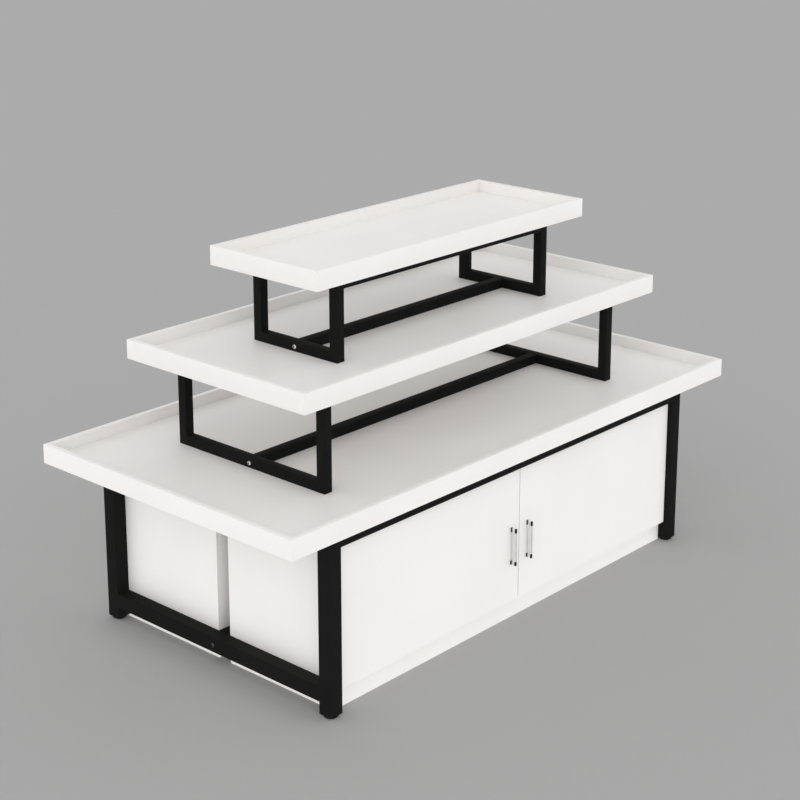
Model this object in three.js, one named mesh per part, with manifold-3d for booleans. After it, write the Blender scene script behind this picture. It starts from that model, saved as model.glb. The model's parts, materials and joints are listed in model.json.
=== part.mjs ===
// Tiered display table: three white trays of falling size, each on a black steel frame.
// The bottom frame holds two cupboards back to back, each with a pair of doors.
// The middle and top frames stand loose on the tray below them.
// Millimetres, +Z up. The origin is on the floor at the middle of the plan.
// The length lies along X, and the front doors face -Y.

import * as THREE from 'three';
import { mergeVertices } from 'three/addons/utils/BufferGeometryUtils.js';
import Module from 'manifold-3d';

const wasm = await Module();
wasm.setup();

// Trays
const bottomTrayLength = 1780;
const bottomTrayWidth = 910;
const middleTrayLength = 1423;
const middleTrayWidth = 643;
const topTrayLength = 1070;
const topTrayWidth = 383;
const rimHeight = 52;
const rimThickness = 16;
const trayFloorThickness = 20;

// Frames of square tube
const bottomFrameLength = 1464;
const bottomFrameWidth = 836;
const bottomFrameHeight = 471;
const bottomTube = 40;
const middleFrameLength = 1185;
const middleFrameWidth = 533;
const middleFrameHeight = 249;
const middleTube = 27;
const topFrameLength = 852;
const topFrameWidth = 302;
const topFrameHeight = 217;
const topTube = 27;
const tubeWall = 1.5;
const bottomLowBarRise = 32;
const legEndPlate = 4;
const stretcherPlug = 24;

// Screws that hold the stretchers
const screwHeadDiameter = 12;
const screwHeadHeight = 4;
const screwShankDiameter = 6;
const screwGrip = 18;
const screwSocketAcrossFlats = 4;
const screwSocketDepth = 2.4;
const holeClearance = 0.3;

// Levelling feet
const footDiameter = 36;
const footHeight = 6;
const footEdge = 1.5;
const footStemDiameter = 8;
const footStemLength = 34;

// Cupboards
const board = 16;
const backBoard = 8;
const cupboardFloorGap = 0.5;
const kickHeight = 59.5;
const stretcherClearance = 1.5;

// Doors
const doorThickness = 18;
const doorRecess = 13.5;
const doorBackGap = 0.5;
const doorLegGap = 2;
const doorTopGap = 4;
const doorMiddleGap = 3;

// Concealed hinges
const hingeEndDistance = 80;
const hingeCupDiameter = 35;
const hingeCupDepth = 12;
const hingeCupEdge = 5;
const hingeWidth = 14;
const hingeNoseGap = 0.3;
const hingeNoseWidth = 9;
const hingeArmHeight = 13;
const hingeArmLength = 58;
const hingeArmSlope = 8;
const hingePlateStart = 20;
const hingePlateLength = 58;
const hingePlateThickness = 3;

// Door pulls
const pullLength = 105;
const pullDepth = 18;
const pullRailWidth = 5;
const pullBaseThickness = 3;
const pullGripThickness = 4;
const pullWeb = 1.5;
const pullEdgeDistance = 32;
const pullBelowMiddle = 26;

// Flat sides of a full circle, and steps of the rounded screw head
const roundSegments = 24;
const crownSteps = 4;

// Materials
const whiteBoard = new THREE.MeshStandardMaterial({ color: 0xf0efec, roughness: 0.45, metalness: 0 });
const blackSteel = new THREE.MeshStandardMaterial({ color: 0x1b1b1b, roughness: 0.5, metalness: 0.3 });
const brightSteel = new THREE.MeshStandardMaterial({ color: 0xb9b9b6, roughness: 0.3, metalness: 1 });
const satinAluminium = new THREE.MeshStandardMaterial({ color: 0xbfbfbd, roughness: 0.4, metalness: 1 });
const blackPlastic = new THREE.MeshStandardMaterial({ color: 0x151515, roughness: 0.6, metalness: 0 });

const table = new THREE.Group();

function addPart(name, geometry, material) {
  const mesh = new THREE.Mesh(geometry, material);
  mesh.name = name;
  table.add(mesh);
  return mesh;
}

// Box between two corners, given as spans along X, Y and Z in either order
function block(spanX, spanY, spanZ) {
  const sizes = [spanX, spanY, spanZ].map(([a, b]) => Math.abs(b - a));
  const middles = [spanX, spanY, spanZ].map(([a, b]) => (a + b) / 2);
  const geometry = new THREE.BoxGeometry(...sizes);
  geometry.translate(...middles);
  return geometry;
}

function toSolid(geometry) {
  const bare = geometry.clone();
  bare.deleteAttribute('normal');
  bare.deleteAttribute('uv');
  const merged = mergeVertices(bare);
  return new wasm.Manifold(new wasm.Mesh({
    numProp: 3,
    vertProperties: new Float32Array(merged.attributes.position.array),
    triVerts: new Uint32Array(merged.index.array),
  }));
}

function toGeometry(solid) {
  const mesh = solid.getMesh();
  const geometry = new THREE.BufferGeometry();
  geometry.setAttribute('position', new THREE.BufferAttribute(mesh.vertProperties, 3));
  geometry.setIndex(new THREE.BufferAttribute(mesh.triVerts, 1));
  geometry.computeVertexNormals();
  return geometry;
}

function join(geometries) {
  return geometries.map(toSolid).reduce((whole, solid) => whole.add(solid));
}

function cut(solid, tools) {
  return tools.map(toSolid).reduce((rest, tool) => rest.subtract(tool), solid);
}

// Round bar from a to b along X, Y or Z, centred on the given point of the other two axes
function roundBar(axis, diameter, [a, b], centre) {
  const geometry = new THREE.CylinderGeometry(diameter / 2, diameter / 2, Math.abs(b - a), roundSegments);
  if (axis === 'x') geometry.rotateZ(Math.PI / 2);
  if (axis === 'z') geometry.rotateX(Math.PI / 2);
  const middle = new THREE.Vector3(...centre);
  middle[axis] = (a + b) / 2;
  geometry.translate(middle.x, middle.y, middle.z);
  return geometry;
}

// Tiers from the floor up, each standing on the tray floor of the one below
const tiers = [
  {
    name: 'bottom',
    trayLength: bottomTrayLength,
    trayWidth: bottomTrayWidth,
    frameLength: bottomFrameLength,
    frameWidth: bottomFrameWidth,
    frameHeight: bottomFrameHeight,
    tube: bottomTube,
    lowBarRise: bottomLowBarRise,
    endPlate: legEndPlate,
  },
  {
    name: 'middle',
    trayLength: middleTrayLength,
    trayWidth: middleTrayWidth,
    frameLength: middleFrameLength,
    frameWidth: middleFrameWidth,
    frameHeight: middleFrameHeight,
    tube: middleTube,
    lowBarRise: 0,
    endPlate: tubeWall,
  },
  {
    name: 'top',
    trayLength: topTrayLength,
    trayWidth: topTrayWidth,
    frameLength: topFrameLength,
    frameWidth: topFrameWidth,
    frameHeight: topFrameHeight,
    tube: topTube,
    lowBarRise: 0,
    endPlate: tubeWall,
  },
];

let standsOn = footHeight;
for (const tier of tiers) {
  tier.base = standsOn;
  tier.top = tier.base + tier.frameHeight;
  tier.halfLength = tier.frameLength / 2;
  tier.halfWidth = tier.frameWidth / 2;
  tier.innerLength = tier.halfLength - tier.tube;
  tier.lowBar = [tier.base + tier.lowBarRise, tier.base + tier.lowBarRise + tier.tube];
  tier.topBar = [tier.top - tier.tube, tier.top];
  tier.screwHeight = (tier.lowBar[0] + tier.lowBar[1]) / 2;
  standsOn = tier.top + trayFloorThickness;
}

const [bottomTier] = tiers;
const ends = { left: -1, right: 1 };
const faces = { front: -1, back: 1 };
const screwHoleDiameter = screwShankDiameter + 2 * holeClearance;

// A span shortened by the wall at both ends, in either order
function inside([a, b], wall) {
  const step = Math.sign(b - a) * wall;
  return [a + step, b - step];
}

// Tray: a floor board let into a rim that is flush with it underneath
function addTray(tier) {
  const halfLength = tier.trayLength / 2;
  const halfWidth = tier.trayWidth / 2;
  const outer = [[-halfLength, halfLength], [-halfWidth, halfWidth]];
  const inner = outer.map((span) => inside(span, rimThickness));
  const rimTop = tier.top + rimHeight;
  const rim = cut(join([block(...outer, [tier.top, rimTop])]), [
    block(...inner, [tier.top - rimHeight, rimTop + rimHeight]),
  ]);
  addPart(`${tier.name}_tray_floor`, block(...inner, [tier.top, tier.top + trayFloorThickness]), whiteBoard);
  addPart(`${tier.name}_tray_rim`, toGeometry(rim), whiteBoard);
}

// End frame: two uprights, a top bar and a low bar welded into one hollow piece.
// Its bores run into each other and are open at the top, under the tray.
function addEndFrame(tier, end) {
  const side = ends[end];
  const { tube, halfWidth, base, top, lowBar, topBar, screwHeight } = tier;
  const spanX = [side * tier.halfLength, side * tier.innerLength];
  const spanY = [-halfWidth, halfWidth];
  const uprights = [[-halfWidth, -halfWidth + tube], [halfWidth - tube, halfWidth]];
  const bars = [lowBar, topBar];
  const outside = [
    ...uprights.map((upright) => block(spanX, upright, [base, top])),
    ...bars.map((bar) => block(spanX, spanY, bar)),
  ];
  const boreX = inside(spanX, tubeWall);
  const bores = [
    ...uprights.map((upright) => block(boreX, inside(upright, tubeWall), [base + tier.endPlate, top + tube])),
    ...bars.map((bar) => block(boreX, inside(spanY, tubeWall), inside(bar, tubeWall))),
  ];
  const holes = [roundBar('x', screwHoleDiameter, inside(spanX, -tube), [0, 0, screwHeight])];
  if (tier === bottomTier) {
    const stemHole = footStemDiameter + 2 * holeClearance;
    for (const [low, high] of uprights) {
      const foot = [side * (tier.halfLength - tube / 2), (low + high) / 2, 0];
      holes.push(roundBar('z', stemHole, [base - legEndPlate, base + 2 * legEndPlate], foot));
    }
  }
  const frame = cut(cut(join(outside), bores), holes);
  addPart(`${tier.name}_end_frame_${end}`, toGeometry(frame), blackSteel);
}

// Long rail: open tube under the tray edge, between the uprights of the two end frames
function addLongRail(tier, face) {
  const side = faces[face];
  const spanX = [-tier.innerLength, tier.innerLength];
  const spanY = [side * tier.halfWidth, side * (tier.halfWidth - tier.tube)];
  const rail = cut(join([block(spanX, spanY, tier.topBar)]), [
    block(inside(spanX, -tier.tube), inside(spanY, tubeWall), inside(tier.topBar, tubeWall)),
  ]);
  addPart(`${tier.name}_long_rail_${face}`, toGeometry(rail), blackSteel);
}

// Stretcher: tube between the two low bars, with a drilled plug in each end for its screw
function addStretcher(tier) {
  const spanX = [-tier.innerLength, tier.innerLength];
  const spanY = [-tier.tube / 2, tier.tube / 2];
  const stretcher = cut(join([block(spanX, spanY, tier.lowBar)]), [
    block(inside(spanX, stretcherPlug), inside(spanY, tubeWall), inside(tier.lowBar, tubeWall)),
    roundBar('x', screwHoleDiameter, inside(spanX, -tier.tube), [0, 0, tier.screwHeight]),
  ]);
  addPart(`${tier.name}_stretcher`, toGeometry(stretcher), blackSteel);
}

// Button-head screw with a hexagon socket, through the low bar into the stretcher
function addScrew(tier, end) {
  const side = ends[end];
  const headRadius = screwHeadDiameter / 2;
  const shankRadius = screwShankDiameter / 2;
  const reach = tier.tube + screwGrip;
  const crown = new THREE.EllipseCurve(0, 0, headRadius, screwHeadHeight, 0, Math.PI / 2);
  const profile = [
    new THREE.Vector2(0, -reach),
    new THREE.Vector2(shankRadius, -reach),
    new THREE.Vector2(shankRadius, 0),
    ...crown.getPoints(crownSteps),
  ];
  profile[profile.length - 1].x = 0;
  const socketRadius = screwSocketAcrossFlats / Math.sqrt(3);
  const socket = new THREE.CylinderGeometry(socketRadius, socketRadius, 2 * screwSocketDepth, 6);
  socket.translate(0, screwHeadHeight, 0);
  const screw = toGeometry(cut(toSolid(new THREE.LatheGeometry(profile, roundSegments)), [socket]));
  screw.rotateZ(-side * Math.PI / 2);
  screw.translate(side * tier.halfLength, 0, tier.screwHeight);
  addPart(`${tier.name}_screw_${end}`, screw, brightSteel);
}

// Levelling foot: a round pad on a stem that goes up into the leg
function addFoot(face, end) {
  const padRadius = footDiameter / 2;
  const stemRadius = footStemDiameter / 2;
  const profile = [
    [0, 0],
    [padRadius - footEdge, 0],
    [padRadius, footEdge],
    [padRadius, footHeight],
    [stemRadius, footHeight],
    [stemRadius, footHeight + footStemLength],
    [0, footHeight + footStemLength],
  ].map(([radius, height]) => new THREE.Vector2(radius, height));
  const foot = new THREE.LatheGeometry(profile, roundSegments);
  foot.rotateX(Math.PI / 2);
  foot.translate(
    ends[end] * (bottomTier.halfLength - bottomTube / 2),
    faces[face] * (bottomTier.halfWidth - bottomTube / 2),
    0,
  );
  addPart(`foot_${face}_${end}`, foot, blackPlastic);
}

// Places of the cupboards and doors, as distances from the middle of the table
const carcassHalfLength = bottomTier.innerLength;
const carcassBack = bottomTube / 2 + stretcherClearance;
const doorFront = bottomTier.halfWidth - doorRecess;
const doorBack = doorFront - doorThickness;
const carcassFront = doorBack - doorBackGap;
const carcassTop = bottomTier.topBar[0];
const carcassFloor = cupboardFloorGap + kickHeight;
const doorSpanZ = [carcassFloor, carcassTop - doorTopGap];
const doorOuter = carcassHalfLength - doorLegGap;
const doorInner = doorMiddleGap / 2;
const hingeHeights = {
  lower: doorSpanZ[0] + hingeEndDistance,
  upper: doorSpanZ[1] - hingeEndDistance,
};

// Cupboard: an open-fronted box of boards behind a pair of doors
function addCupboard(face) {
  const side = faces[face];
  const depth = (near, far) => [side * near, side * far];
  const between = [-carcassHalfLength + board, carcassHalfLength - board];
  const fullDepth = depth(carcassBack, carcassFront);
  const roomDepth = depth(carcassBack + backBoard, carcassFront);
  for (const [end, sign] of Object.entries(ends)) {
    const spanX = [sign * carcassHalfLength, sign * (carcassHalfLength - board)];
    addPart(`cupboard_${face}_side_${end}`, block(spanX, fullDepth, [cupboardFloorGap, carcassTop]), whiteBoard);
  }
  const panels = {
    bottom: block(between, roomDepth, [carcassFloor, carcassFloor + board]),
    top: block(between, roomDepth, [carcassTop - board, carcassTop]),
    back: block(between, depth(carcassBack, carcassBack + backBoard), [carcassFloor, carcassTop]),
    kick: block(between, depth(carcassFront - board, carcassFront), [cupboardFloorGap, carcassFloor]),
  };
  for (const [name, geometry] of Object.entries(panels)) {
    addPart(`cupboard_${face}_${name}`, geometry, whiteBoard);
  }
}

// Door: a plain board, bored at the back for the cups of its two hinges
function addDoor(face, end) {
  const side = faces[face];
  const sign = ends[end];
  const cupX = sign * (doorOuter - hingeCupEdge - hingeCupDiameter / 2);
  const cupSpanY = [side * (doorBack + hingeCupDepth), side * (doorBack - hingeCupDepth)];
  const leaf = block([sign * doorOuter, sign * doorInner], [side * doorFront, side * doorBack], doorSpanZ);
  const cups = Object.values(hingeHeights).map((height) => (
    roundBar('y', hingeCupDiameter, cupSpanY, [cupX, 0, height])
  ));
  addPart(`door_${face}_${end}`, toGeometry(cut(join([leaf]), cups)), whiteBoard);
}

// Hinge arm: a plate on the cupboard side that carries a cranked arm up to the back of the door
function addHinge(face, end, level) {
  const side = faces[face];
  const sign = ends[end];
  const noseDepth = hingeNoseGap - doorBackGap;
  const armEnd = noseDepth + hingeArmLength;
  const plateEnd = hingePlateStart + hingePlateLength;
  const noseFoot = hingeArmHeight - hingeNoseWidth;
  const outline = new THREE.Shape([
    [0, hingePlateStart],
    [noseFoot, hingePlateStart - hingeArmSlope],
    [noseFoot, noseDepth],
    [hingeArmHeight, noseDepth],
    [hingeArmHeight, armEnd],
    [hingePlateThickness, armEnd + hingeArmSlope],
    [hingePlateThickness, plateEnd],
    [0, plateEnd],
  ].map(([height, back]) => new THREE.Vector2(
    sign * (carcassHalfLength - board - height),
    side * (carcassFront - back),
  )));
  const arm = new THREE.ExtrudeGeometry(outline, { depth: hingeWidth, bevelEnabled: false });
  arm.translate(0, 0, hingeHeights[level] - hingeWidth / 2);
  addPart(`hinge_${face}_${end}_${level}`, arm, brightSteel);
}

// Pull: one extruded bar with a base rail on the door, a web and a grip rail in front
function addPull(face, end) {
  const halfRail = pullRailWidth / 2;
  const halfWeb = pullWeb / 2;
  const gripStart = pullDepth - pullGripThickness;
  const half = [
    [halfRail, 0],
    [halfRail, pullBaseThickness],
    [halfWeb, pullBaseThickness],
    [halfWeb, gripStart],
    [halfRail, gripStart],
    [halfRail, pullDepth],
  ];
  const otherHalf = half.map(([across, out]) => [-across, out]).reverse();
  const centreX = ends[end] * (doorInner + pullEdgeDistance);
  const outline = new THREE.Shape([...half, ...otherHalf].map(([across, out]) => (
    new THREE.Vector2(centreX + across, faces[face] * (doorFront + out))
  )));
  const pull = new THREE.ExtrudeGeometry(outline, { depth: pullLength, bevelEnabled: false });
  const middle = (doorSpanZ[0] + doorSpanZ[1]) / 2 - pullBelowMiddle;
  pull.translate(0, 0, middle - pullLength / 2);
  addPart(`pull_${face}_${end}`, pull, satinAluminium);
}

for (const tier of tiers) {
  addTray(tier);
  addStretcher(tier);
  for (const end of Object.keys(ends)) {
    addEndFrame(tier, end);
    addScrew(tier, end);
  }
  for (const face of Object.keys(faces)) {
    addLongRail(tier, face);
  }
}

for (const face of Object.keys(faces)) {
  addCupboard(face);
  for (const end of Object.keys(ends)) {
    addFoot(face, end);
    addDoor(face, end);
    addPull(face, end);
    for (const level of Object.keys(hingeHeights)) {
      addHinge(face, end, level);
    }
  }
}

export default table;
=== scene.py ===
"""Looks of the tiered display table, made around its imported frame. Metres, +Z up, front doors towards -Y."""

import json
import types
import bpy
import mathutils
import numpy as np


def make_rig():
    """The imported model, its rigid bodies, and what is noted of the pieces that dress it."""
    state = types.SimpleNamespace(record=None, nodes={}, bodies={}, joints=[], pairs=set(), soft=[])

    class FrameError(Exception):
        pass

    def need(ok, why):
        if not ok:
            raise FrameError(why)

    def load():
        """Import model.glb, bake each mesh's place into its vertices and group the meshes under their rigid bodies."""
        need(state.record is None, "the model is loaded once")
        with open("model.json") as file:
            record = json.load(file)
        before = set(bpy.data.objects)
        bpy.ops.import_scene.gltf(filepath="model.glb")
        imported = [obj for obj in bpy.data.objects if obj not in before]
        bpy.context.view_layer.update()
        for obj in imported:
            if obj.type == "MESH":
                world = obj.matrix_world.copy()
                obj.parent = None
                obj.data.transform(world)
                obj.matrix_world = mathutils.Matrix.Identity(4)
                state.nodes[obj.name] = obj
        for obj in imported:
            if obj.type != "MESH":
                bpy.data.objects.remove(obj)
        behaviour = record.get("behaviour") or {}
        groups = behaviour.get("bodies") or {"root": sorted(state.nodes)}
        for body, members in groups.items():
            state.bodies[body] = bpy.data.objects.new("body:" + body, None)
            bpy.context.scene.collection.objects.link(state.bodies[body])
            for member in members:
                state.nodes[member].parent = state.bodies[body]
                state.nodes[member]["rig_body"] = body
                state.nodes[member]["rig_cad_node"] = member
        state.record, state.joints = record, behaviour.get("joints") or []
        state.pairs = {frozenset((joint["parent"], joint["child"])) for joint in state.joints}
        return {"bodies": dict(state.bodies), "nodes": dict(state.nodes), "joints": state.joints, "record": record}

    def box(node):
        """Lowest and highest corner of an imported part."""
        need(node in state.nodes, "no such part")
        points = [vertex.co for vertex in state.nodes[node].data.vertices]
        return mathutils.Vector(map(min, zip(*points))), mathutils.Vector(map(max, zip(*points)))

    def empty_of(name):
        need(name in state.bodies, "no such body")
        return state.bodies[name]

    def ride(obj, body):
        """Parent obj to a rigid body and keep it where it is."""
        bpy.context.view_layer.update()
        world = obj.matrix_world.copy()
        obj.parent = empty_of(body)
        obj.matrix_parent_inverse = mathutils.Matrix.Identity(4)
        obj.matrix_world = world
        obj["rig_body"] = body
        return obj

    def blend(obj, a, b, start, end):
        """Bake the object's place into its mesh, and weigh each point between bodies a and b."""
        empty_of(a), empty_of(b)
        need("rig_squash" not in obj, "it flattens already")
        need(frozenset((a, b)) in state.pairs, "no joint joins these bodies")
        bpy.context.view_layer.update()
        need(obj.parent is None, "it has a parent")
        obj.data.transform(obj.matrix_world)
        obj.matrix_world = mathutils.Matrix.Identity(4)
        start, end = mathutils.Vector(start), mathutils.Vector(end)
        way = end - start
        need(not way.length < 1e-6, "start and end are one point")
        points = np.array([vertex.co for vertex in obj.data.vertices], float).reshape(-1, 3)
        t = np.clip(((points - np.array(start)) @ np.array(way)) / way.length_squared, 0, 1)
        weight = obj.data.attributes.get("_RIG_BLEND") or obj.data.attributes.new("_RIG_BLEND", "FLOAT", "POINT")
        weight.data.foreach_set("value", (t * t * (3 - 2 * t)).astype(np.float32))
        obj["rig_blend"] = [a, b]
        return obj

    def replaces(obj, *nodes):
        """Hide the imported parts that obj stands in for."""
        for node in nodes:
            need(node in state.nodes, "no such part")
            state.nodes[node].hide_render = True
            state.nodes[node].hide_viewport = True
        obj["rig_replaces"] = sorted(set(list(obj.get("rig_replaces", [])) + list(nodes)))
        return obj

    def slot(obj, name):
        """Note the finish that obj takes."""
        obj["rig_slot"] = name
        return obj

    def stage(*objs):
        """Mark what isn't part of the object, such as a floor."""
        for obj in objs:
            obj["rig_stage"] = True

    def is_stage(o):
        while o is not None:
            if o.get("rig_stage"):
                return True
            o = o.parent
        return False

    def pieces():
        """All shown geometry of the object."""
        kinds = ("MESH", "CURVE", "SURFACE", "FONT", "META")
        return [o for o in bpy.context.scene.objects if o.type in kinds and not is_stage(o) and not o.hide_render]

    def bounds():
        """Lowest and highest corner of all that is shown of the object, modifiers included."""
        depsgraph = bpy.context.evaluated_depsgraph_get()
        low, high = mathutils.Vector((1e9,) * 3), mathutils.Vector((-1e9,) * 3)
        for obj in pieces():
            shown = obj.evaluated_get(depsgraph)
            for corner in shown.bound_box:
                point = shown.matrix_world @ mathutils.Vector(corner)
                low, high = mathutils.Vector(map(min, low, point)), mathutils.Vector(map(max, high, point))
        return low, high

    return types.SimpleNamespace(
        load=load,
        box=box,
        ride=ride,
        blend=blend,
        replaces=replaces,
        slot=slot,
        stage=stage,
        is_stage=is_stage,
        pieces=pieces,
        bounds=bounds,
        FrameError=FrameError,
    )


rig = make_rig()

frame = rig.load()

import json
import math

import bmesh
import bpy
from mathutils import Matrix, Vector

CAD_BOX = [list(corner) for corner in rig.bounds()]
NODES = frame["nodes"]
MM = 0.001
QUARTER_TURN = math.pi / 2

# Words in the names of nodes: tiers with their bodies, ends and faces with their side of the middle
TIERS = ("bottom", "middle", "top")
TIER_BODY = {"bottom": "base", "middle": "middle_tier", "top": "top_tier"}
ENDS = {"left": -1, "right": 1}
FACES = {"front": -1, "back": 1}
CUPBOARD_PANELS = ("side_left", "side_right", "bottom", "top", "back", "kick")
HINGE_LEVELS = ("lower", "upper")

# Camera that sees the object as the photograph does, for an image of 800 by 800 pixels
IMAGE_PIXELS = 800
CAMERA_PLACE = (-3.4720, -3.1227, 2.1598)
CAMERA_AZIMUTH = math.radians(-47.826)
CAMERA_PITCH = math.radians(14.683)
CAMERA_FOCAL_PIXELS = 1783.7
CAMERA_SENSOR_MM = 36.0
CAMERA_SHIFT = (0.0, -0.18)

# Light, where 1 on a surface shows its colour as written
WHITE = (1.0, 1.0, 1.0, 1.0)
BACKDROP_GREY = 0.402
LAMP_LEVEL = 0.23
LAMP_HEIGHT = math.radians(15)
LAMP_AZIMUTH = math.radians(-50)
LAMP_SOFTNESS = math.radians(80)

# Sky at the horizon, at its middle height (a sine) and overhead, and the share of each on level ground
SKY_MIDDLE_HEIGHT = 0.5
SKY_LEVELS = (0.31, 1.29, 0.52)
SKY_SHARES = (1 / 12, 1 / 2, 5 / 12)

# Floor, with its glow as light and with clouds per metre that drift by a share of its grey
FLOOR_GLOW = 0.975
FLOOR_REACH = 60.0
FLOOR_SEGMENTS = 8
FLOOR_CLOUD = 40.0
FLOOR_DRIFT = 0.005

# Noise in the materials: the band that holds most of its values, and how finely it breaks up
NOISE_BAND = (0.3, 0.7)
CLOUD_DETAIL = 3.0
GRAIN_DETAIL = 2.0
BUMP_STRENGTH = 0.5

# Rounding of edges
TUBE_CORNER = 1.2 * MM
BOARD_EDGE = 0.8 * MM
RIM_EDGE = 0.9 * MM
MITRE_EDGE = 0.20 * MM
ROUND_STEPS = 3
MITRE_STEPS = 1
ROUND_PROFILE = 0.5
SHARP_ANGLE = math.radians(35)
WELD_GAP = 0.001 * MM

# Cosines: above the first an edge runs along an axis, above the second a face is a mitre
PARALLEL = 0.999
MITRE_SLANT = 0.5

# Socket screws
SCREW_SIDES = 48
SCREW_SHANK_RADIUS = 3.0 * MM
SCREW_SEAT_EDGE = 0.3 * MM
SCREW_CROWN_STEPS = 6
SCREW_FLAT_SHARE = 0.58
SCREW_SOCKET = 5.0 * MM
SCREW_SOCKET_LIP = 0.25 * MM
SCREW_SOCKET_DEPTH = 2.4 * MM
SCREW_SOCKET_SLACK = 0.01 * MM

# Levelling feet; the thread starts and ends some turns from the ends of the stem
FOOT_SIDES = 48
FOOT_STEM_RADIUS = 4.0 * MM
FOOT_TREAD_EDGE = 2.2 * MM
FOOT_TOP_EDGE = 1.0 * MM
FOOT_EDGE_STEPS = 4
THREAD_PITCH = 1.25 * MM
THREAD_DEPTH = 0.6 * MM
THREAD_STEPS = 6
THREAD_START_TURNS = 0.5
THREAD_PLAIN_TURNS = 1

# Door pulls
PULL_BASE = 3.0 * MM
PULL_GRIP = 4.0 * MM
PULL_WEB = 1.5 * MM
PULL_EDGE = 0.5 * MM
PULL_END = 12.0 * MM
PULL_END_SKIN = 0.4 * MM
PULL_END_EDGE = 0.8 * MM

# Hinge arms: stretches behind the nose, half heights, heights over the cupboard side, and screw profiles
HINGE_WING = (22.0 * MM, 58.0 * MM)
HINGE_WING_HALF = 24.0 * MM
HINGE_WING_THICK = 2.4 * MM
HINGE_RAIL = (20.0 * MM, 78.0 * MM)
HINGE_RAIL_HALF = 6.5 * MM
HINGE_RAIL_TOP = 5.2 * MM
HINGE_ARM = (0.2 * MM, 62.0 * MM)
HINGE_ARM_FOOT = 4.6 * MM
HINGE_WING_SCREW_BACK = 40.0 * MM
HINGE_WING_SCREW_HEIGHT = 16.0 * MM
HINGE_WING_SCREW = ((4.2 * MM, 0.0), (4.1 * MM, 0.8 * MM), (3.2 * MM, 1.7 * MM), (1.6 * MM, 2.1 * MM))
HINGE_ARM_SCREW_BACKS = (34.0 * MM, 52.0 * MM)
HINGE_ARM_SCREW = ((3.6 * MM, -1.0 * MM), (3.5 * MM, 0.5 * MM), (3.0 * MM, 0.9 * MM), (1.2 * MM, 0.9 * MM))
HINGE_SCREW_SIDES = 24
HINGE_EDGE = 0.9 * MM

# Hinge cups
HINGE_CUP_EDGE_DISTANCE = 22.5 * MM
HINGE_CUP_RADIUS = 17.3 * MM
HINGE_CUP_DEPTH = 11.0 * MM
HINGE_CUP_WALL = 1.2 * MM
HINGE_CUP_LIP = 0.35 * MM
HINGE_CUP_LIP_WIDTH = 1.6 * MM
HINGE_CUP_FILLET = 2.5 * MM
HINGE_CUP_SIDES = 48

# Hinge links: heights over the cupboard side, half height, start behind the nose and reach before it
HINGE_LINK = (5.0 * MM, 11.0 * MM)
HINGE_LINK_HALF = 4.5 * MM
HINGE_LINK_START = 3.0 * MM
HINGE_LINK_REACH = 8.0 * MM
HINGE_LINK_STEPS = 14
HINGE_LINK_EDGE = 0.6 * MM


# Materials

def new_material(name):
    material = bpy.data.materials.new(name)
    material.use_nodes = True
    return material, material.node_tree, material.node_tree.nodes["Principled BSDF"]


def noise(tree, scale, detail, stretch=(1.0, 1.0, 1.0)):
    """Grey noise in the object's own metres; scale is bumps per metre."""
    coords = tree.nodes.new("ShaderNodeTexCoord")
    mapping = tree.nodes.new("ShaderNodeMapping")
    mapping.inputs["Scale"].default_value = stretch
    texture = tree.nodes.new("ShaderNodeTexNoise")
    texture.inputs["Scale"].default_value = scale
    texture.inputs["Detail"].default_value = detail
    tree.links.new(coords.outputs["Object"], mapping.inputs["Vector"])
    tree.links.new(mapping.outputs["Vector"], texture.inputs["Vector"])
    return texture.outputs["Fac"]


def spread(tree, factor, low, high):
    """The middle of the noise, stretched from low to high."""
    node = tree.nodes.new("ShaderNodeMapRange")
    node.inputs["From Min"].default_value, node.inputs["From Max"].default_value = NOISE_BAND
    node.inputs["To Min"].default_value = low
    node.inputs["To Max"].default_value = high
    tree.links.new(factor, node.inputs["Value"])
    return node.outputs["Result"]


def colour_between(tree, factor, first, second):
    node = tree.nodes.new("ShaderNodeMix")
    node.data_type = "RGBA"
    node.inputs["A"].default_value = (*first, 1.0)
    node.inputs["B"].default_value = (*second, 1.0)
    tree.links.new(spread(tree, factor, 0.0, 1.0), node.inputs["Factor"])
    return node.outputs["Result"]


def bump(tree, shader, height, distance):
    node = tree.nodes.new("ShaderNodeBump")
    node.inputs["Distance"].default_value = distance
    node.inputs["Strength"].default_value = BUMP_STRENGTH
    tree.links.new(height, node.inputs["Height"])
    tree.links.new(node.outputs["Normal"], shader.inputs["Normal"])


def surface(name, colours, roughness, cloud, grain, grain_height, metallic=0.0, gloss=0.5, stretch=(1, 1, 1)):
    """A surface whose colour drifts in slow clouds and whose skin has a fine grain."""
    material, tree, shader = new_material(name)
    shader.inputs["Metallic"].default_value = metallic
    shader.inputs["Specular IOR Level"].default_value = gloss
    drift = noise(tree, cloud, CLOUD_DETAIL)
    skin = noise(tree, grain, GRAIN_DETAIL, stretch)
    tree.links.new(colour_between(tree, drift, *colours), shader.inputs["Base Color"])
    tree.links.new(spread(tree, skin, *roughness), shader.inputs["Roughness"])
    bump(tree, shader, skin, grain_height)
    return material


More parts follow.
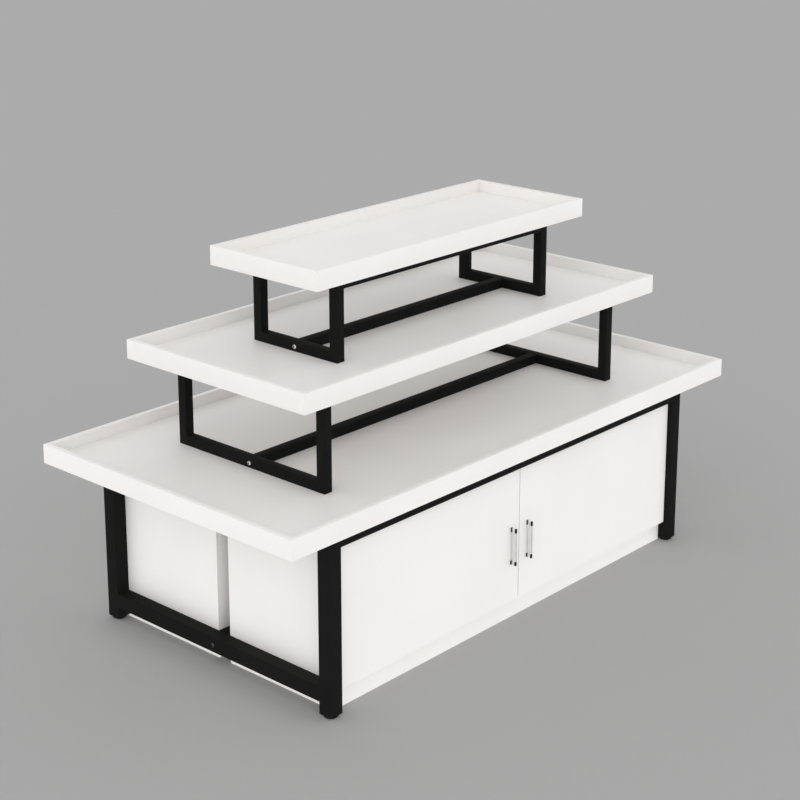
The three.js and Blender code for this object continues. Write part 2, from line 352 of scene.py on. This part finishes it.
def make_materials():
    """One material for each slot of the record, and the looks that only some pieces have."""
    return {
        "white_board": surface(
            "white_lacquer", ((0.890, 0.874, 0.855), (0.920, 0.904, 0.885)), (0.36, 0.48),
            cloud=4.0, grain=700.0, grain_height=0.03 * MM),
        # Kick boards: rougher white lacquer whose colour is a slightly darker copy of the white lacquer, painted shade
        # under the doors
        "kick_painted_shade": surface(
            "rough_white_lacquer_painted_shade", ((0.874, 0.858, 0.840), (0.903, 0.887, 0.868)), (0.40, 0.54),
            cloud=4.0, grain=700.0, grain_height=0.03 * MM),
        "black_steel": surface(
            "black_powder_coat", ((0.0080, 0.0080, 0.0079), (0.0106, 0.0106, 0.0104)), (0.52, 0.66),
            cloud=6.0, grain=1500.0, grain_height=0.10 * MM, gloss=0.06),
        "screw_steel": surface(
            "zinc_plate", ((0.88, 0.88, 0.86), (0.94, 0.94, 0.92)), (0.22, 0.30),
            cloud=90.0, grain=2500.0, grain_height=0.002 * MM, metallic=1.0),
        # Screws of the bottom tier: the same zinc-plated screws as above, in a darker copy of their colour, painted
        # shade
        "dark_screw_steel": surface(
            "zinc_plate_painted_shade", ((0.130, 0.130, 0.130), (0.180, 0.180, 0.176)), (0.28, 0.42),
            cloud=90.0, grain=2500.0, grain_height=0.002 * MM, metallic=1.0),
        # Near black for the inside of the screw sockets: painted shade in the hollow
        "screw_socket": surface(
            "shaded_socket", ((0.008, 0.008, 0.008), (0.020, 0.020, 0.020)), (0.50, 0.70),
            cloud=200.0, grain=900.0, grain_height=0.01 * MM, gloss=0.2),
        "hinge_steel": surface(
            "nickel_plate", ((0.63, 0.62, 0.59), (0.69, 0.68, 0.65)), (0.24, 0.30),
            cloud=60.0, grain=2500.0, grain_height=0.001 * MM, metallic=1.0),
        "satin_aluminium": surface(
            "satin_aluminium", ((0.78, 0.78, 0.77), (0.85, 0.85, 0.84)), (0.32, 0.46),
            cloud=40.0, grain=1200.0, grain_height=0.01 * MM, metallic=0.6, stretch=(1, 1, 0.03)),
        "black_plastic": surface(
            "black_plastic", ((0.006, 0.006, 0.006), (0.009, 0.009, 0.009)), (0.50, 0.66),
            cloud=30.0, grain=1800.0, grain_height=0.05 * MM, gloss=0.25),
    }


MATERIALS = make_materials()


# Mesh helpers

def finished(name, mesh, slot, look=None):
    """A finished mesh as an object that takes its finish from a slot."""
    data = bpy.data.meshes.new(name)
    bmesh.ops.recalc_face_normals(mesh, faces=mesh.faces)
    for face in mesh.faces:
        face.smooth = True
    mesh.to_mesh(data)
    mesh.free()
    data.set_sharp_from_angle(angle=SHARP_ANGLE)
    data.materials.append(MATERIALS[look or slot])
    obj = bpy.data.objects.new(name, data)
    bpy.context.scene.collection.objects.link(obj)
    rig.slot(obj, slot)
    return obj


def piece(name, mesh, slot, body, replaces=(), look=None):
    """A finished mesh that rides on a body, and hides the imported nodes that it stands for."""
    obj = finished(name, mesh, slot, look)
    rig.ride(obj, body)
    if replaces:
        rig.replaces(obj, *replaces)
    return obj


def joined(meshes):
    """Several meshes as one."""
    whole = bmesh.new()
    for mesh in meshes:
        data = bpy.data.meshes.new("part")
        mesh.to_mesh(data)
        mesh.free()
        whole.from_mesh(data)
        bpy.data.meshes.remove(data)
    return whole


def bevel(mesh, edges, radius, steps=ROUND_STEPS):
    bmesh.ops.bevel(
        mesh, geom=edges, offset=radius, offset_type="OFFSET", segments=steps, profile=ROUND_PROFILE,
        affect="EDGES", clamp_overlap=True)


def runs_along(edge, axis):
    a, b = (vert.co for vert in edge.verts)
    return abs((b - a).normalized()[axis]) > PARALLEL


def rounded_box(low, high, radius, along=None):
    """A box with rounded edges: all of them, or only those along one axis."""
    mesh = bmesh.new()
    low, high = Vector(low), Vector(high)
    sizes = [abs(b - a) for a, b in zip(low, high)]
    place = Matrix.Translation((low + high) / 2) @ Matrix.Diagonal((*sizes, 1.0))
    bmesh.ops.create_cube(mesh, size=1.0, matrix=place)
    edges = [edge for edge in mesh.edges if along is None or runs_along(edge, along)]
    bevel(mesh, edges, radius)
    return mesh


def loft(rings):
    """A closed skin through rings of points, with flat ends."""
    mesh = bmesh.new()
    loops = [[mesh.verts.new(point) for point in ring] for ring in rings]
    count = len(loops[0])
    for first, second in zip(loops, loops[1:]):
        for i in range(count):
            j = (i + 1) % count
            mesh.faces.new((first[i], first[j], second[j], second[i]))
    mesh.faces.new(list(reversed(loops[0])))
    mesh.faces.new(loops[-1])
    return mesh


def circle(radius, height, count, place):
    """Points of a circle, set in space by place, a matrix with local Z as the axis."""
    return [
        place @ Vector((radius * math.cos(turn), radius * math.sin(turn), height))
        for turn in (2 * math.pi * i / count for i in range(count))
    ]


def hexagon(across_flats, height, count, place):
    """Points of a hexagon outline, as many as on the circles around it."""
    points = []
    for i in range(count):
        turn = 2 * math.pi * i / count
        off_flat = (turn % (math.pi / 3)) - math.pi / 6
        radius = across_flats / 2 / math.cos(off_flat)
        points.append(place @ Vector((radius * math.cos(turn), radius * math.sin(turn), height)))
    return points


def soft_edges(node, radius):
    """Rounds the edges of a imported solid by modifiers, so that its mesh stays as it is."""
    obj = NODES[node]
    weld = obj.modifiers.new("weld", "WELD")
    weld.merge_threshold = WELD_GAP
    rounding = obj.modifiers.new("rounding", "BEVEL")
    rounding.width = radius
    rounding.segments = ROUND_STEPS
    rounding.limit_method = "ANGLE"
    rounding.angle_limit = SHARP_ANGLE
    obj.modifiers.new("normals", "WEIGHTED_NORMAL")


def paint(node, look):
    obj = NODES[node]
    obj.data.materials.clear()
    obj.data.materials.append(MATERIALS[look])


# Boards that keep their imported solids

def dress_boards():
    boards = [f"{tier}_tray_floor" for tier in TIERS]
    for face in FACES:
        boards += [f"cupboard_{face}_{panel}" for panel in CUPBOARD_PANELS]
        boards += [f"door_{face}_{end}" for end in ENDS]
    for board in boards:
        # The kick boards take the darker copy of the white lacquer, painted shade under the doors
        paint(board, "kick_painted_shade" if board.endswith("_kick") else "white_board")
        soft_edges(board, BOARD_EDGE)


# Tray rims of four mitred boards

def mitred_board(outer_a, outer_b, inner_b, inner_a, low, high):
    """One side of a rim, with rounded edges and finely broken mitres."""
    mesh = bmesh.new()
    plan = (outer_a, outer_b, inner_b, inner_a)
    bottom = [mesh.verts.new((*point, low)) for point in plan]
    top = [mesh.verts.new((*point, high)) for point in plan]
    mesh.faces.new(list(reversed(bottom)))
    mesh.faces.new(top)
    for i in range(len(plan)):
        j = (i + 1) % len(plan)
        mesh.faces.new((bottom[i], bottom[j], top[j], top[i]))
    along = 0 if abs(outer_b[0] - outer_a[0]) > abs(outer_b[1] - outer_a[1]) else 1
    bevel(mesh, [edge for edge in mesh.edges if runs_along(edge, along)], RIM_EDGE)

    def on_mitre(edge):
        return any(abs(face.normal[along]) > MITRE_SLANT for face in edge.link_faces)

    bevel(mesh, [edge for edge in mesh.edges if on_mitre(edge)], MITRE_EDGE, MITRE_STEPS)
    return mesh


def plan_corners(low, high):
    return [(low.x, low.y), (high.x, low.y), (high.x, high.y), (low.x, high.y)]


def add_rim(tier):
    node = f"{tier}_tray_rim"
    low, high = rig.box(node)
    outer = plan_corners(low, high)
    inner = plan_corners(*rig.box(f"{tier}_tray_floor"))
    boards = []
    for i in range(len(outer)):
        j = (i + 1) % len(outer)
        boards.append(mitred_board(outer[i], outer[j], inner[j], inner[i], low.z, high.z))
    piece(f"{tier}_rim_boards", joined(boards), "white_board", TIER_BODY[tier], [node])


# Frames of round-cornered square tube

def add_end_frame(tier, end):
    """Two legs and two bars as one skin, drawn on a grid of lines that is filled where there is tube."""
    node = f"{tier}_end_frame_{end}"
    low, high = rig.box(node)
    tube = high.x - low.x
    bar_low, bar_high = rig.box(f"{tier}_stretcher")
    lines_y = [low.y, low.y + tube, high.y - tube, high.y]
    lines_z = sorted({low.z, bar_low.z, bar_high.z, high.z - tube, high.z})
    lines_z = [z for i, z in enumerate(lines_z) if i == 0 or z - lines_z[i - 1] > MM]
    bars_z = (bar_low.z, high.z - tube)
    between_legs = 1

    def filled(column, row):
        if not (0 <= column < len(lines_y) - 1 and 0 <= row < len(lines_z) - 1):
            return False
        return column != between_legs or any(abs(lines_z[row] - z) < MM for z in bars_z)

    mesh = bmesh.new()
    verts = {}

    def vert(x, column, row):
        key = (x, column, row)
        if key not in verts:
            verts[key] = mesh.verts.new((x, lines_y[column], lines_z[row]))
        return verts[key]

    # Corners of a cell in turn, and for each side the cell beyond it and the corner where it starts
    steps = ((0, 0), (1, 0), (1, 1), (0, 1))
    sides = ((0, -1, 0), (1, 0, 1), (0, 1, 2), (-1, 0, 3))
    for column in range(len(lines_y) - 1):
        for row in range(len(lines_z) - 1):
            if not filled(column, row):
                continue
            corners = [(column + i, row + j) for i, j in steps]
            for x in (low.x, high.x):
                mesh.faces.new([vert(x, *corner) for corner in corners])
            for i, j, first in sides:
                if not filled(column + i, row + j):
                    a, b = corners[first], corners[(first + 1) % len(corners)]
                    mesh.faces.new((vert(low.x, *a), vert(low.x, *b), vert(high.x, *b), vert(high.x, *a)))
    bmesh.ops.recalc_face_normals(mesh, faces=mesh.faces)
    bevel(mesh, [edge for edge in mesh.edges if edge.calc_face_angle(0.0) > SHARP_ANGLE], TUBE_CORNER)
    piece(f"{tier}_tube_frame_{end}", mesh, "black_steel", TIER_BODY[tier], [node])


def add_tube(node, name, body):
    low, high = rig.box(node)
    piece(name, rounded_box(low, high, TUBE_CORNER, along=0), "black_steel", body, [node])


def add_frames():
    for tier in TIERS:
        for end in ENDS:
            add_end_frame(tier, end)
        for face in FACES:
            add_tube(f"{tier}_long_rail_{face}", f"{tier}_tube_rail_{face}", TIER_BODY[tier])
        add_tube(f"{tier}_stretcher", f"{tier}_tube_stretcher", TIER_BODY[tier])


# Socket screws

def add_screw(tier, end):
    """A button-head screw whose hexagon socket is cut into the crown."""
    node = f"{tier}_screw_{end}"
    sign = ENDS[end]
    low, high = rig.box(node)
    frame_low, frame_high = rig.box(f"{tier}_end_frame_{end}")
    outside, seat, tip = (low.x, frame_low.x, high.x) if sign < 0 else (high.x, frame_high.x, low.x)
    head, shank = abs(outside - seat), abs(tip - seat)
    radius = (high.z - low.z) / 2
    seat_middle = (seat, 0.0, (low.z + high.z) / 2)
    place = Matrix.Translation(seat_middle) @ Matrix.Rotation(sign * QUARTER_TURN, 4, "Y")
    rings = [
        circle(SCREW_SHANK_RADIUS, -shank, SCREW_SIDES, place),
        circle(SCREW_SHANK_RADIUS, 0.0, SCREW_SIDES, place),
        circle(radius - SCREW_SEAT_EDGE, 0.0, SCREW_SIDES, place),
    ]
    crown = math.acos(SCREW_FLAT_SHARE)
    for step in range(SCREW_CROWN_STEPS + 1):
        turn = crown * step / SCREW_CROWN_STEPS
        rise = SCREW_SEAT_EDGE + (head - SCREW_SEAT_EDGE) * math.sin(turn) / math.sin(crown)
        rings.append(circle(radius * math.cos(turn), rise, SCREW_SIDES, place))
    rings.append(hexagon(SCREW_SOCKET, head - SCREW_SOCKET_LIP, SCREW_SIDES, place))
    rings.append(hexagon(SCREW_SOCKET, head - SCREW_SOCKET_DEPTH, SCREW_SIDES, place))
    mesh = loft(rings)
    # Faces inside the hexagon socket take a second, near-black material: painted shade in the socket
    corner = SCREW_SOCKET / math.sqrt(3) + SCREW_SOCKET_SLACK
    to_screw = place.inverted()
    for face in mesh.faces:
        points = [to_screw @ vert.co for vert in face.verts]
        if all(point.z > 0 and point.xy.length < corner for point in points):
            face.material_index = 1
    # The bottom tier's screws take a darker copy of the zinc plate, painted shade
    look = "dark_screw_steel" if tier == "bottom" else "screw_steel"
    screw = piece(f"{tier}_socket_screw_{end}", mesh, "screw_steel", TIER_BODY[tier], [node], look)
    screw.data.materials.append(MATERIALS["screw_socket"])


# Levelling feet with a cut thread

def rounded_rim(radius, height, edge, up):
    """Radius and height of points round a quarter circle at the rim of a disc."""
    points = []
    for step in range(FOOT_EDGE_STEPS + 1):
        turn = QUARTER_TURN * step / FOOT_EDGE_STEPS
        points.append((radius - edge + edge * math.cos(turn), height + up * edge * (math.sin(turn) - 1)))
    return points


def thread_ring(step, height, place):
    """Points round the stem at one step of the thread, nearer to the axis where the groove passes."""
    points = []
    for i in range(FOOT_SIDES):
        phase = (step / THREAD_STEPS - i / FOOT_SIDES) % 1.0
        radius = FOOT_STEM_RADIUS - THREAD_DEPTH * abs(2 * phase - 1)
        turn = 2 * math.pi * i / FOOT_SIDES
        points.append(place @ Vector((radius * math.cos(turn), radius * math.sin(turn), height)))
    return points


def add_foot(face, end):
    """A round pad under a threaded stem that goes up into the leg."""
    node = f"foot_{face}_{end}"
    low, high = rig.box(node)
    place = Matrix.Translation(((low.x + high.x) / 2, (low.y + high.y) / 2, low.z))
    pad = (high.x - low.x) / 2
    leg_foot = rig.box(f"bottom_end_frame_{end}")[0].z - low.z
    profile = list(reversed(rounded_rim(pad, 0.0, FOOT_TREAD_EDGE, -1)))
    profile += rounded_rim(pad, leg_foot, FOOT_TOP_EDGE, 1)
    profile.append((FOOT_STEM_RADIUS, leg_foot))
    rings = [circle(radius, height, FOOT_SIDES, place) for radius, height in profile]
    turns = int((high.z - low.z - leg_foot) / THREAD_PITCH) - THREAD_PLAIN_TURNS
    for step in range(turns * THREAD_STEPS):
        height = leg_foot + THREAD_PITCH * (THREAD_START_TURNS + step / THREAD_STEPS)
        rings.append(thread_ring(step, height, place))
    piece(f"levelling_foot_{face}_{end}", loft(rings), "black_plastic", f"{face}_{end}_foot", [node])


# Door pulls with black ends on their rails

def add_pull(face, end):
    """A bar with a rail on the door, a web and a rail for the fingers, and caps on the ends of both rails."""
    node = f"pull_{face}_{end}"
    low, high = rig.box(node)
    side = FACES[face]
    door_y, grip_y = (high.y, low.y) if side < 0 else (low.y, high.y)
    middle = (low.x + high.x) / 2
    body = f"{face}_{end}_door"

    skin = PULL_END_SKIN
    bar_face = grip_y - side * skin
    base_face, grip_back = door_y + side * PULL_BASE, grip_y - side * PULL_GRIP
    web = middle + PULL_WEB / 2
    half = [
        (high.x, door_y), (high.x, base_face), (web, base_face),
        (web, grip_back), (high.x, grip_back), (high.x, bar_face),
    ]
    outline = half + [(2 * middle - x, y) for x, y in reversed(half)]
    bar = loft([[Vector((x, y, z)) for x, y in outline] for z in (low.z + skin, high.z - skin)])
    bmesh.ops.recalc_face_normals(bar, faces=bar.faces)
    bevel(bar, [edge for edge in bar.edges if edge.calc_face_angle_signed(0.0) > SHARP_ANGLE], PULL_EDGE)
    piece(f"pull_bar_{face}_{end}", bar, "satin_aluminium", body, [node])

    caps = []
    for inner, outer in ((door_y, base_face + side * skin), (grip_back - side * skin, grip_y)):
        for z_low, z_high in ((low.z, low.z + PULL_END), (high.z - PULL_END, high.z)):
            corner_a = (low.x - skin, min(inner, outer), z_low)
            corner_b = (high.x + skin, max(inner, outer), z_high)
            caps.append(rounded_box(corner_a, corner_b, PULL_END_EDGE))
    piece(f"pull_ends_{face}_{end}", joined(caps), "black_plastic", body)


# Concealed hinges: an arm on the cupboard side, a cup in the door and a link between them

def hinge_points(face, end, level):
    """A function that gives points of one hinge.

    They are measured inwards from the cupboard side, back from the arm's nose and up from its middle.
    """
    low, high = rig.box(f"hinge_{face}_{end}_{level}")
    side, sign = FACES[face], ENDS[end]
    wall = low.x if sign < 0 else high.x
    nose = low.y if side < 0 else high.y
    centre = (low.z + high.z) / 2

    def at(inward, back, height):
        return Vector((wall - sign * inward, nose - side * back, centre + height))

    return at


def add_hinge_arm(face, end, level, at):
    """A plate screwed to the cupboard side, a rail on it and the arm that is screwed to the rail."""
    node = f"hinge_{face}_{end}_{level}"
    low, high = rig.box(node)
    top = high.x - low.x

    def block(inward, back, half):
        a, b = at(inward[0], back[0], -half), at(inward[1], back[1], half)
        return rounded_box([min(pair) for pair in zip(a, b)], [max(pair) for pair in zip(a, b)], HINGE_EDGE)

    def screw(profile, inward, back, height):
        turned = Matrix.Rotation(-ENDS[end] * QUARTER_TURN, 4, "Y")
        place = Matrix.Translation(at(inward, back, height)) @ turned
        return loft([circle(radius, rise, HINGE_SCREW_SIDES, place) for radius, rise in profile])

    parts = [
        block((0.0, HINGE_WING_THICK), HINGE_WING, HINGE_WING_HALF),
        block((HINGE_WING_THICK, HINGE_RAIL_TOP), HINGE_RAIL, HINGE_RAIL_HALF),
        block((HINGE_ARM_FOOT, top), HINGE_ARM, (high.z - low.z) / 2),
    ]
    for height in (-HINGE_WING_SCREW_HEIGHT, HINGE_WING_SCREW_HEIGHT):
        parts.append(screw(HINGE_WING_SCREW, HINGE_WING_THICK, HINGE_WING_SCREW_BACK, height))
    for back in HINGE_ARM_SCREW_BACKS:
        parts.append(screw(HINGE_ARM_SCREW, top, back, 0.0))
    piece(f"hinge_arm_{face}_{end}_{level}", joined(parts), "hinge_steel", "base", [node])


def add_hinge_cup(face, end, level, at):
    """A cup let into the back of the door, with a lip round its mouth."""
    low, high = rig.box(f"door_{face}_{end}")
    side, sign = FACES[face], ENDS[end]
    door_back = high.y if side < 0 else low.y
    door_edge = low.x if sign < 0 else high.x
    mouth = (door_edge - sign * HINGE_CUP_EDGE_DISTANCE, door_back, at(0.0, 0.0, 0.0).z)
    place = Matrix.Translation(mouth) @ Matrix.Rotation(side * QUARTER_TURN, 4, "X")
    outer = HINGE_CUP_RADIUS
    inner = outer - HINGE_CUP_WALL
    floor = HINGE_CUP_WALL - HINGE_CUP_DEPTH
    profile = (
        (outer, -HINGE_CUP_DEPTH), (outer, 0.0), (outer + HINGE_CUP_LIP_WIDTH, 0.0),
        (outer + HINGE_CUP_LIP_WIDTH, HINGE_CUP_LIP / 2), (outer + HINGE_CUP_LIP_WIDTH / 2, HINGE_CUP_LIP),
        (inner + HINGE_CUP_LIP, HINGE_CUP_LIP), (inner, 0.0),
        (inner, floor + HINGE_CUP_FILLET), (inner - HINGE_CUP_FILLET, floor),
    )
    cup = loft([circle(radius, height, HINGE_CUP_SIDES, place) for radius, height in profile])
    piece(f"hinge_cup_{face}_{end}_{level}", cup, "hinge_steel", f"{face}_{end}_door")


def add_hinge_link(face, end, level, at):
    """A bar from the arm into the cup, which bends as the door opens."""
    corners = [(HINGE_LINK[i], j * HINGE_LINK_HALF) for i, j in ((0, -1), (1, -1), (1, 1), (0, 1))]
    rings = []
    for step in range(HINGE_LINK_STEPS + 1):
        back = HINGE_LINK_START - (HINGE_LINK_START + HINGE_LINK_REACH) * step / HINGE_LINK_STEPS
        rings.append([at(inward, back, height) for inward, height in corners])
    link = loft(rings)
    bmesh.ops.recalc_face_normals(link, faces=link.faces)
    bevel(link, [edge for edge in link.edges if edge.calc_face_angle(0.0) > SHARP_ANGLE], HINGE_LINK_EDGE)
    middle = sum(HINGE_LINK) / 2
    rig.blend(
        finished(f"hinge_link_{face}_{end}_{level}", link, "hinge_steel"), "base", f"{face}_{end}_door",
        at(middle, 0.0, 0.0), at(middle, -HINGE_LINK_REACH, 0.0))


def add_hinge(face, end, level):
    at = hinge_points(face, end, level)
    add_hinge_arm(face, end, level, at)
    add_hinge_cup(face, end, level, at)
    add_hinge_link(face, end, level, at)


def add_fittings():
    for tier in TIERS:
        add_rim(tier)
        for end in ENDS:
            add_screw(tier, end)
    for face in FACES:
        for end in ENDS:
            add_foot(face, end)
            add_pull(face, end)
            for level in HINGE_LEVELS:
                add_hinge(face, end, level)


# Stage: floor, light and camera

def shows(tree):
    """1 for rays that show a thing, straight or by its gloss, and 0 for rays that only carry light."""
    path = tree.nodes.new("ShaderNodeLightPath")
    shown = path.outputs["Is Camera Ray"]
    for other in ("Is Glossy Ray", "Is Transmission Ray"):
        either = tree.nodes.new("ShaderNodeMath")
        either.operation = "MAXIMUM"
        tree.links.new(shown, either.inputs[0])
        tree.links.new(path.outputs[other], either.inputs[1])
        shown = either.outputs["Value"]
    return shown


def choose(tree, factor, first, second, out):
    """The first shader where factor is 0 and the second where it is 1, sent to the output."""
    mix = tree.nodes.new("ShaderNodeMixShader")
    tree.links.new(factor, mix.inputs["Fac"])
    tree.links.new(first, mix.inputs[1])
    tree.links.new(second, mix.inputs[2])
    tree.links.new(mix.outputs["Shader"], out.inputs["Surface"])


def floor_material():
    """Shows as the grey backdrop with the object's shadow, and lights the object evenly from below."""
    material, tree, shader = new_material("studio_floor")
    sky_level = sum(level * share for level, share in zip(SKY_LEVELS, SKY_SHARES))
    grey = BACKDROP_GREY / (sky_level + LAMP_LEVEL * math.sin(LAMP_HEIGHT))
    drift = noise(tree, FLOOR_CLOUD, GRAIN_DETAIL)
    shade = colour_between(tree, drift, [grey * (1 - FLOOR_DRIFT)] * 3, [grey * (1 + FLOOR_DRIFT)] * 3)
    tree.links.new(shade, shader.inputs["Base Color"])
    shader.inputs["Roughness"].default_value = 1.0
    shader.inputs["Specular IOR Level"].default_value = 0.0
    glow = tree.nodes.new("ShaderNodeEmission")
    glow.inputs["Color"].default_value = WHITE
    glow.inputs["Strength"].default_value = FLOOR_GLOW
    choose(tree, shows(tree), glow.outputs["Emission"], shader.outputs["BSDF"], tree.nodes["Material Output"])
    return material


def add_floor():
    mesh = bmesh.new()
    bmesh.ops.create_grid(mesh, x_segments=FLOOR_SEGMENTS, y_segments=FLOOR_SEGMENTS, size=FLOOR_REACH)
    data = bpy.data.meshes.new("floor")
    mesh.to_mesh(data)
    mesh.free()
    data.materials.append(floor_material())
    floor = bpy.data.objects.new("floor", data)
    bpy.context.scene.collection.objects.link(floor)
    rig.stage(floor)


def add_world():
    """A white sky, brightest at its middle height, that shows as the grey backdrop."""
    world = bpy.data.worlds.new("studio")
    bpy.context.scene.world = world
    world.use_nodes = True
    tree = world.node_tree
    tree.nodes.clear()
    light = tree.nodes.new("ShaderNodeBackground")
    light.inputs["Strength"].default_value = max(SKY_LEVELS)
    coords = tree.nodes.new("ShaderNodeTexCoord")
    direction = tree.nodes.new("ShaderNodeSeparateXYZ")
    brightness = tree.nodes.new("ShaderNodeValToRGB")
    stops = brightness.color_ramp.elements
    stops.new(SKY_MIDDLE_HEIGHT)
    for stop, level in zip(stops, SKY_LEVELS):
        share = level / max(SKY_LEVELS)
        stop.color = (share, share, share, 1.0)
    tree.links.new(coords.outputs["Generated"], direction.inputs["Vector"])
    tree.links.new(direction.outputs["Z"], brightness.inputs["Fac"])
    tree.links.new(brightness.outputs["Color"], light.inputs["Color"])
    shown = tree.nodes.new("ShaderNodeBackground")
    shown.inputs["Color"].default_value = (BACKDROP_GREY, BACKDROP_GREY, BACKDROP_GREY, 1.0)
    out = tree.nodes.new("ShaderNodeOutputWorld")
    choose(tree, shows(tree), light.outputs["Background"], shown.outputs["Background"], out)


def add_lamp():
    """A soft lamp from the camera's side, as bright as its level on a surface that faces it."""
    light = bpy.data.lights.new("soft_lamp", "SUN")
    light.energy = LAMP_LEVEL * math.pi
    light.angle = LAMP_SOFTNESS
    lamp = bpy.data.objects.new("soft_lamp", light)
    lamp.rotation_euler = (QUARTER_TURN - LAMP_HEIGHT, 0.0, LAMP_AZIMUTH)
    bpy.context.scene.collection.objects.link(lamp)


def add_camera():
    data = bpy.data.cameras.new("photo_camera")
    data.sensor_width = CAMERA_SENSOR_MM
    data.lens = CAMERA_SENSOR_MM * CAMERA_FOCAL_PIXELS / IMAGE_PIXELS
    data.shift_x, data.shift_y = CAMERA_SHIFT
    camera = bpy.data.objects.new("photo_camera", data)
    camera.location = CAMERA_PLACE
    camera.rotation_euler = (QUARTER_TURN - CAMERA_PITCH, 0.0, CAMERA_AZIMUTH)
    bpy.context.scene.collection.objects.link(camera)
    bpy.context.scene.camera = camera


dress_boards()
add_frames()
add_fittings()
add_floor()
add_world()
add_lamp()
add_camera()
bpy.context.scene.view_settings.view_transform = "Standard"

visual_box = [list(corner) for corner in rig.bounds()]
with open("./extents.json", "w") as size_file:
    json.dump({"cad": CAD_BOX, "visual": visual_box}, size_file)
